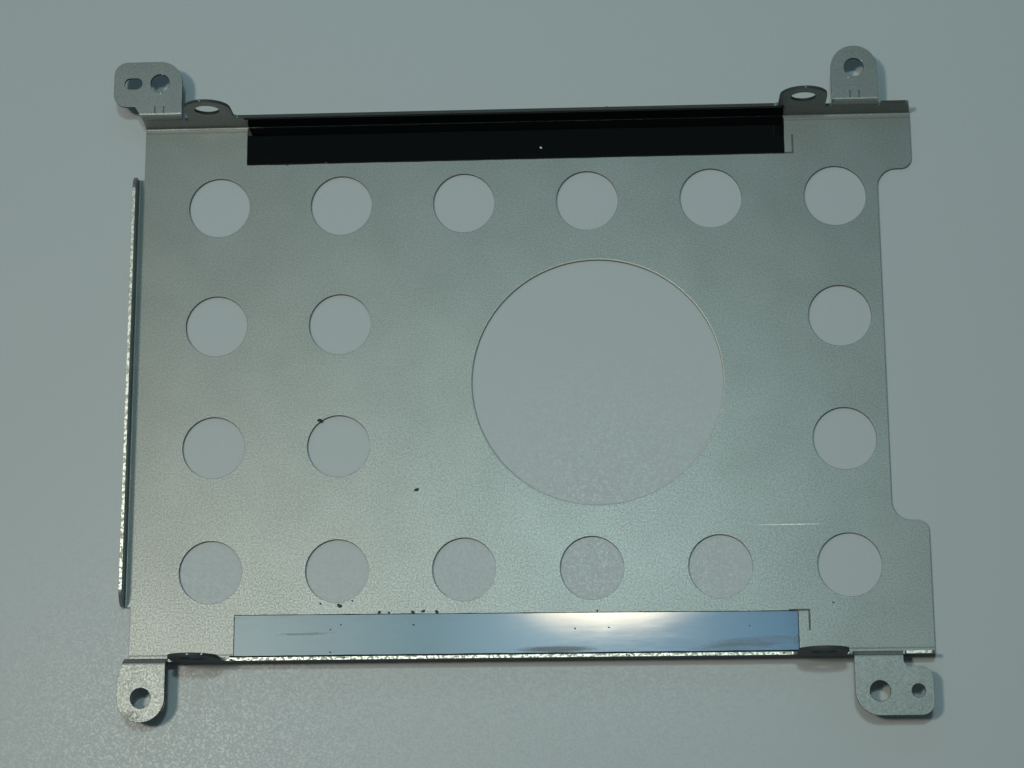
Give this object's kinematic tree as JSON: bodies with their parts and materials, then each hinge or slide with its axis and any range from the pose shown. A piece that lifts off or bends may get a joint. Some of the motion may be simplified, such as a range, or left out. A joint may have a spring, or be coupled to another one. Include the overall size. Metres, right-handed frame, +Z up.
{
  "type": "hard drive caddy",
  "caption": "Folded sheet-steel tray for a laptop hard drive, with screw ears on its side walls, outward chassis tabs, a rear stop flange, lightening holes and insulating film strips.",
  "frame": {"origin": "middle of the part's outline, on the underside of the base, which lies on the surface", "axes": "+X along the drive towards its connector end, +Y towards the far wall, +Z up out of the base"},
  "size_m": [0.1036, 0.086, 0.01],
  "materials": {
    "zinc_coated_steel": "satin",
    "black_film": "gloss"
  },
  "bodies": {
    "root": {"caddy_tray": "zinc_coated_steel", "far_side_film": "black_film", "near_side_film": "black_film"}
  },
  "joints": []
}
